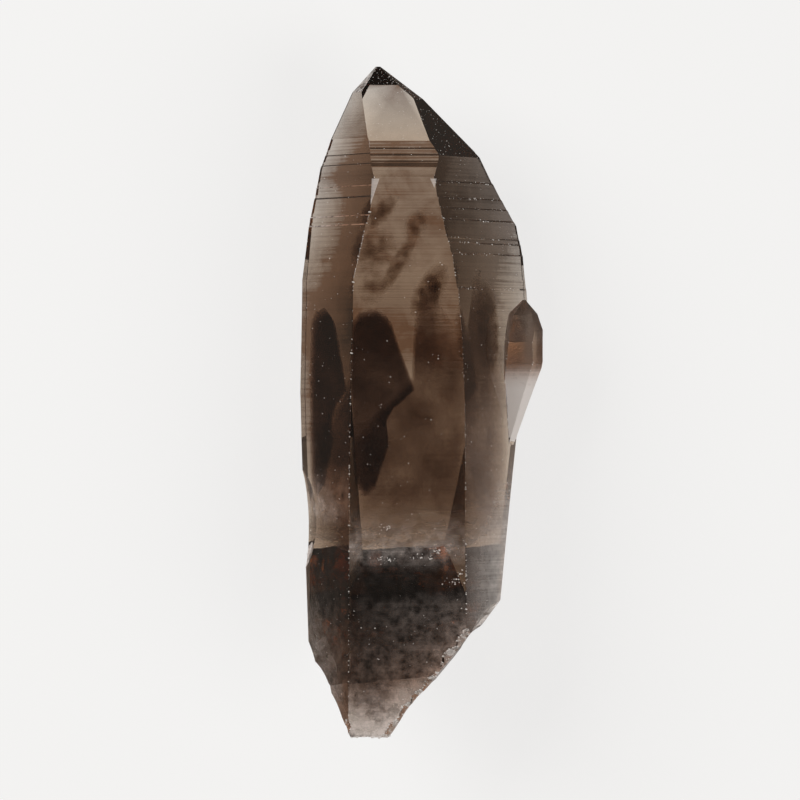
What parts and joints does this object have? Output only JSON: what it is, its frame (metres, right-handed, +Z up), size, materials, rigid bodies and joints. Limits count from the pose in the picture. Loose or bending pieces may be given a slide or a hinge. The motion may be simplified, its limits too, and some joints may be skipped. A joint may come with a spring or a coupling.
{
  "type": "smoky quartz crystal",
  "caption": "Natural smoky quartz point for display: a tapered hexagonal prism with growth ledges, a faceted tip, a small crystal grown on its side and a broken foot.",
  "frame": {"origin": "on the ground under the middle of the crystal's box, with the crystal lying on its back prism face", "axes": "+Y along the crystal from the broken foot to the tip, +X to the right seen from above with the tip away from the viewer, +Z up out of the front prism face"},
  "size_m": [0.0582, 0.1596, 0.0422],
  "materials": {
    "smoky_quartz": "clear to cloudy smoky brown, glossy growth faces, frosted breaks"
  },
  "bodies": {
    "root": {"smoky_quartz_crystal": "smoky_quartz"}
  },
  "joints": []
}
